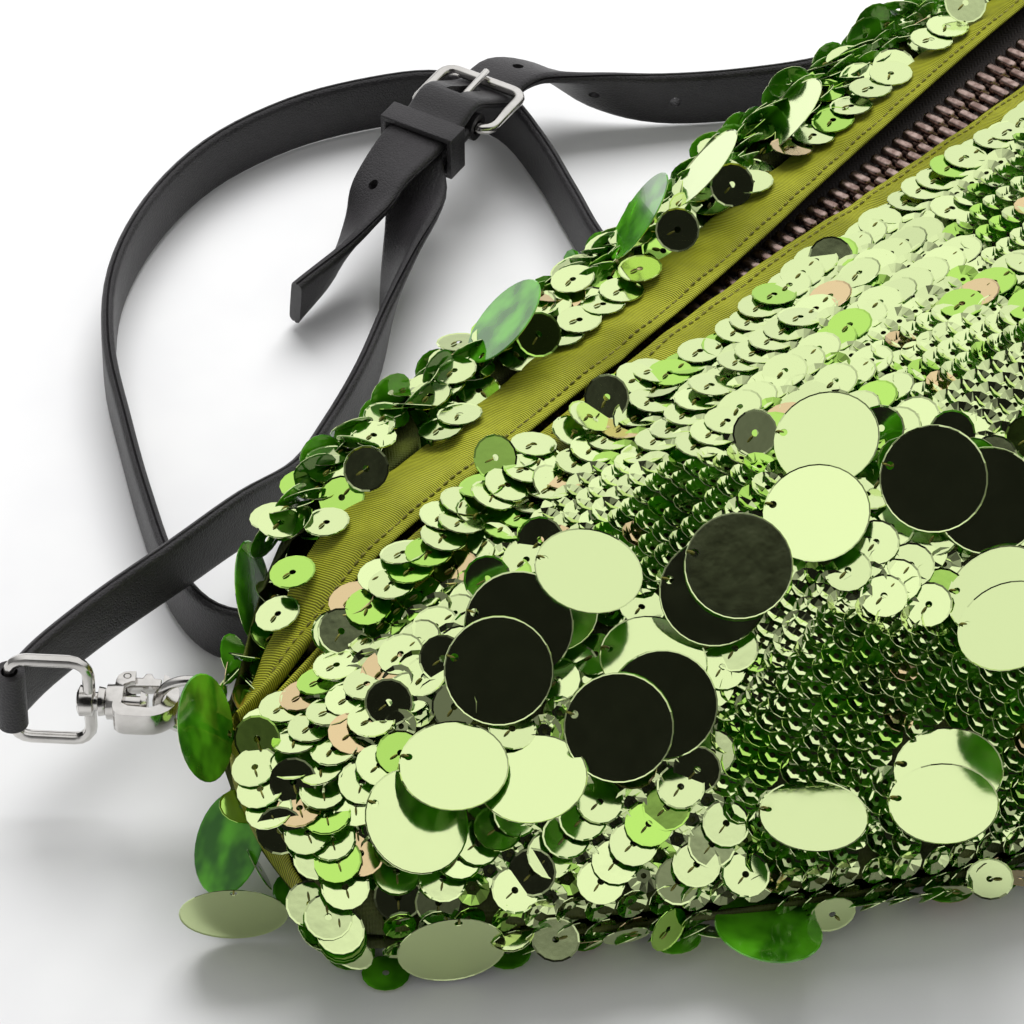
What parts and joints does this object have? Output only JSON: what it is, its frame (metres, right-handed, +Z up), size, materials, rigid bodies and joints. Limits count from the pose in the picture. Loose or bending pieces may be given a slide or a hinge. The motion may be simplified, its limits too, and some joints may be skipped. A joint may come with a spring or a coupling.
{
  "type": "sequinned zip pouch",
  "caption": "Filled half-moon zip-top evening pouch in green sequinned cloth, lying on its back, with an olive zip band and a clip-on black leather strap with buckle and swivel hooks.",
  "frame": {"origin": "on the surface the pouch lies on, under the middle of the pouch's outline without its strap and clips", "axes": "+X along the zip towards the closed end, +Y from the rounded bottom towards the zip, +Z up, out of the front panel"},
  "size_m": [0.3158, 0.2605, 0.0525],
  "materials": {
    "green_sequins": "cloth covered in mirror-bright green sequins",
    "dark_lining": "matt woven lining",
    "olive_faille": "fine-ribbed olive cloth with a soft sheen",
    "zip_chain_brown": "dark woven tape with antique metal teeth",
    "antique_metal": "dark antique metal, satin",
    "polished_nickel": "polished nickel",
    "black_leather": "smooth black leather, half matt"
  },
  "bodies": {
    "pouch": {"front_panel": "green_sequins", "back_panel": "green_sequins", "lining": "dark_lining", "front_facing": "olive_faille", "back_facing": "olive_faille", "left_gusset": "olive_faille", "right_gusset": "olive_faille", "left_tab": "olive_faille", "right_tab": "olive_faille", "front_zip_chain": "zip_chain_brown", "back_zip_chain": "zip_chain_brown", "bottom_stop": "antique_metal", "front_top_stop": "antique_metal", "back_top_stop": "antique_metal", "left_eye": "polished_nickel", "right_eye": "polished_nickel", "buckle_frame": "polished_nickel", "strap_short": "black_leather", "strap_long": "black_leather", "strap_keeper": "black_leather"},
    "slider": {"zip_slider": "antique_metal"},
    "pull": {"zip_pull": "polished_nickel"},
    "prong": {"buckle_prong": "polished_nickel"},
    "left_hook": {"left_hook": "polished_nickel", "left_gate_pin": "polished_nickel"},
    "left_gate": {"left_gate": "polished_nickel"},
    "left_ring": {"left_ring": "polished_nickel"},
    "right_hook": {"right_hook": "polished_nickel", "right_gate_pin": "polished_nickel"},
    "right_gate": {"right_gate": "polished_nickel"},
    "right_ring": {"right_ring": "polished_nickel"}
  },
  "joints": [
    {"name": "zip_slide", "type": "slide", "parent": "pouch", "child": "slider", "axis": [1, 0, 0], "range_m": [-0.186, 0], "deforming": ["front_zip_chain", "back_zip_chain", "front_facing", "back_facing"]},
    {"name": "pull_swing", "type": "hinge", "parent": "slider", "child": "pull", "pos_m": [0.0945, 0.0595, 0.03865], "axis": [0, -1, 0], "range_deg": [0, 145]},
    {"name": "left_hook_swivel", "type": "hinge", "parent": "pouch", "child": "left_hook", "pos_m": [-0.14526, 0.08348, 0.022], "axis": [-0.5878, 0.809, 0], "range_deg": [-10, 10]},
    {"name": "left_gate_hinge", "type": "hinge", "parent": "left_hook", "child": "left_gate", "pos_m": [-0.14056, 0.08417, 0.022], "axis": [0, 0, -1], "range_deg": [0, 13], "stiffness_Nm_per_rad": 0.005, "springref_deg": -11.46},
    {"name": "left_ring_swing", "type": "hinge", "parent": "pouch", "child": "left_ring", "pos_m": [-0.13615, 0.07094, 0.022], "axis": [0, 0, 1], "range_deg": [-4, 4]},
    {"name": "right_hook_swivel", "type": "hinge", "parent": "pouch", "child": "right_hook", "pos_m": [0.14526, 0.08348, 0.022], "axis": [0.5878, 0.809, 0], "range_deg": [-10, 10]},
    {"name": "right_gate_hinge", "type": "hinge", "parent": "right_hook", "child": "right_gate", "pos_m": [0.14736, 0.07923, 0.022], "axis": [0, 0, -1], "range_deg": [0, 13], "stiffness_Nm_per_rad": 0.005, "springref_deg": -11.46},
    {"name": "right_ring_swing", "type": "hinge", "parent": "pouch", "child": "right_ring", "pos_m": [0.13615, 0.07094, 0.022], "axis": [0, 0, 1], "range_deg": [-4, 4]},
    {"name": "prong_hinge", "type": "hinge", "parent": "pouch", "child": "prong", "pos_m": [0.01758, 0.14648, 0.0165], "axis": [0.1564, -0.9877, 0], "range_deg": [0, 14]}
  ]
}
